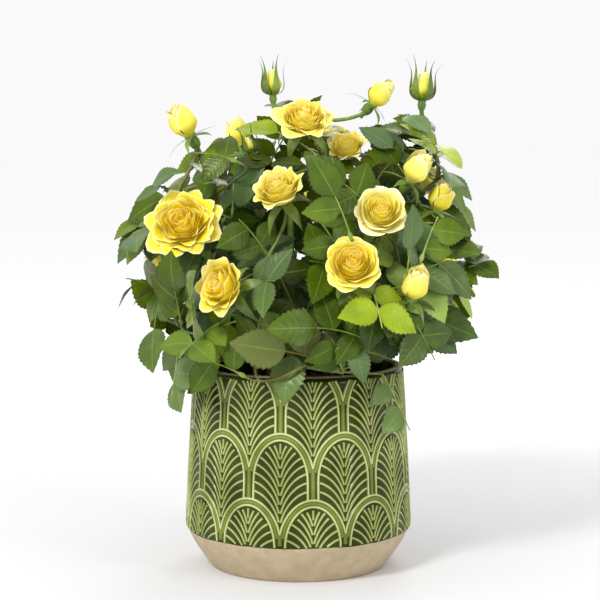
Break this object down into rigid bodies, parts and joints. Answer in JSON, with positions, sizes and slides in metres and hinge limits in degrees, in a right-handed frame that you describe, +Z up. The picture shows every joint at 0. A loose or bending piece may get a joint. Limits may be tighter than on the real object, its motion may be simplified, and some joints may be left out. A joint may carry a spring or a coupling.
{
  "type": "potted rose bush",
  "caption": "Potted miniature rose in full flower: a dense rounded crown of compound leaves with yellow and cream blossom over a straight-sided glazed pot.",
  "frame": {"origin": "centre of the pot's flat underside, at the surface that the plant stands on", "axes": "+Z up, +X to the right of the front view, -Y toward the front view"},
  "size_m": [0.2582, 0.249, 0.3474],
  "materials": {
    "glazed_pot": "gloss",
    "soil": "matte",
    "cane_bark": "satin",
    "foliage": "satin"
  },
  "bodies": {
    "root": {"pot": "glazed_pot", "soil": "soil", "cane_top": "cane_bark", "foliage_top": "foliage", "cane_left": "cane_bark", "foliage_left": "foliage", "cane_right": "cane_bark", "foliage_right": "foliage", "cane_front_left": "cane_bark", "foliage_front_left": "foliage", "cane_front_right": "cane_bark", "foliage_front_right": "foliage", "cane_low_left": "cane_bark", "foliage_low_left": "foliage", "cane_low_right": "cane_bark", "foliage_low_right": "foliage", "cane_low_front": "cane_bark", "foliage_low_front": "foliage", "cane_back_left": "cane_bark", "foliage_back_left": "foliage", "cane_back_right": "cane_bark", "foliage_back_right": "foliage"}
  },
  "joints": []
}
